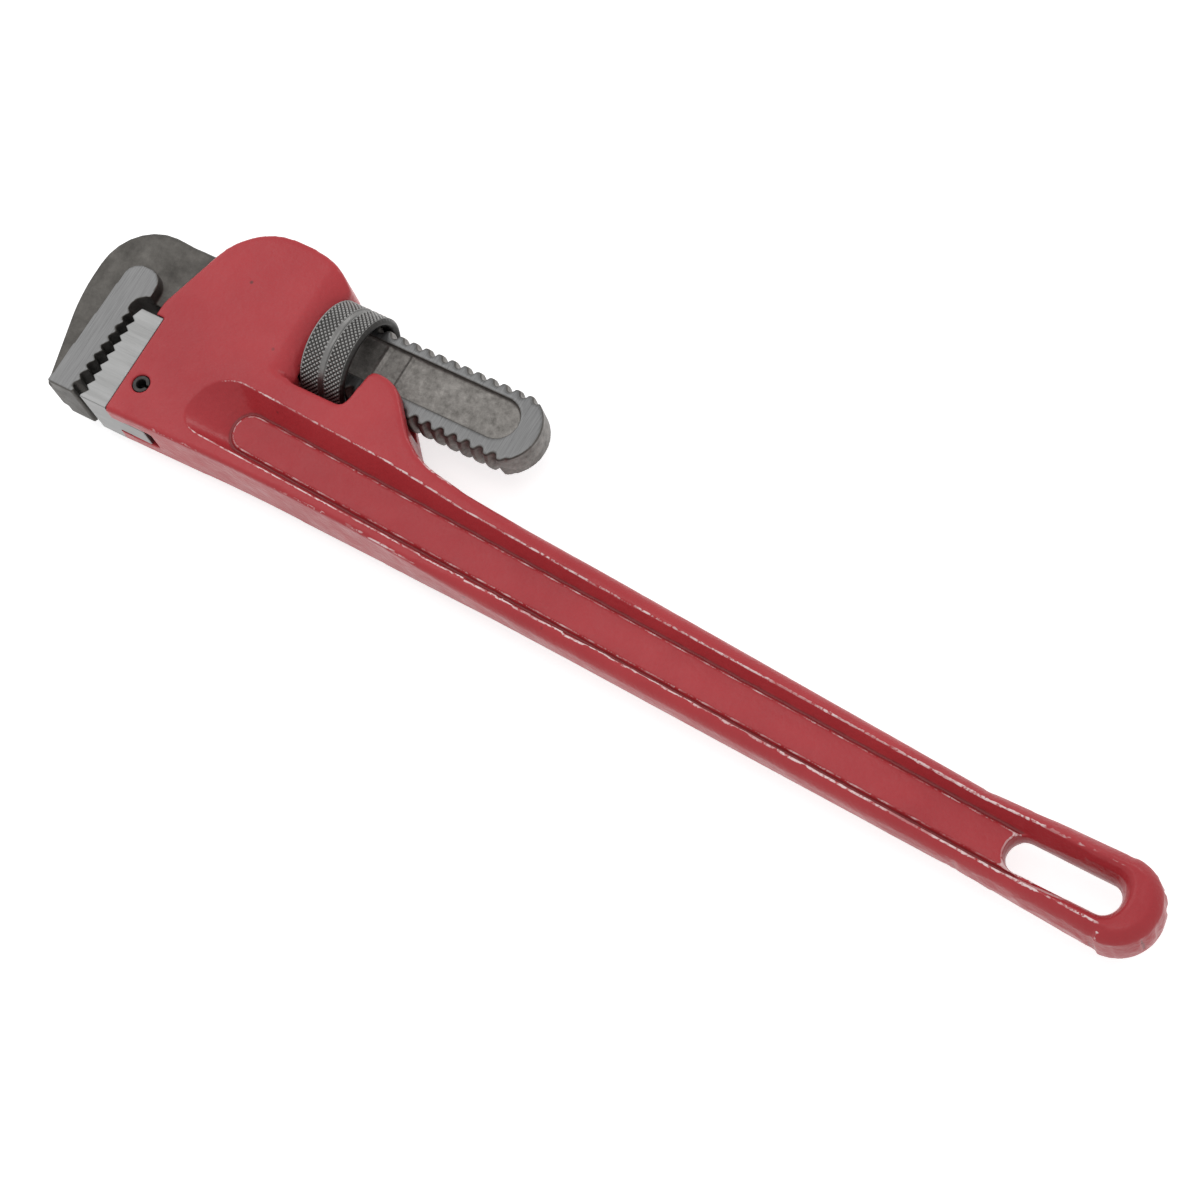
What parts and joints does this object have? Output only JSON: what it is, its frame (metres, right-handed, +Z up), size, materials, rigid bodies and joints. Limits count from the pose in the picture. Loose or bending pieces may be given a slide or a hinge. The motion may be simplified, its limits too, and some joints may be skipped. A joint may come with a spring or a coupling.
{
  "type": "pipe wrench",
  "caption": "Straight pipe wrench with a toothed hook jaw on a threaded shank, a knurled adjusting nut, a pinned heel jaw and a long channel-section handle with a hanging slot.",
  "frame": {"origin": "middle of the wrench's box, at the height of the bench under the wrench lying on its side with its face level", "axes": "+X along the shank's axis from the jaws to the handle's end, +Y toward the back of the head, +Z up through the wrench's thickness"},
  "size_m": [0.419, 0.094, 0.0343],
  "materials": {
    "red_enamel": "satin red enamel over casting",
    "forged_steel": "dark forged steel, ground on the tooth strip and the shank's faces",
    "ground_steel": "bright ground steel",
    "black_pin": "black oxide",
    "knurled_steel": "dark grey knurled steel",
    "spring_steel": "blued spring steel"
  },
  "bodies": {
    "housing": {"handle_housing": "red_enamel", "heel_jaw": "ground_steel", "heel_jaw_pin": "black_pin", "coil_spring": "spring_steel"},
    "rocker": {"flat_spring": "spring_steel"},
    "jaw": {"hook_jaw": "forged_steel"},
    "nut": {"adjusting_nut": "knurled_steel"}
  },
  "joints": [
    {"name": "jaw_rock", "type": "hinge", "parent": "housing", "child": "rocker", "pos_m": [-0.1137, 0.0213, 0.01715], "axis": [0, 0, -1], "range_deg": [0, 1], "stiffness_Nm_per_rad": 20, "springref_deg": -1.15},
    {"name": "nut_spin", "type": "hinge", "parent": "rocker", "child": "nut", "pos_m": [-0.1137, 0.0213, 0.01715], "axis": [1, 0, 0], "range_deg": [-99.3, 4110.5]},
    {"name": "jaw_slide", "type": "slide", "parent": "rocker", "child": "jaw", "axis": [-1, 0, 0], "range_m": [-0.0014, 0.058]}
  ],
  "couplings": [
    {"joint": "nut_spin", "follows": "jaw_slide", "rad_per_m": 1236.8}
  ]
}
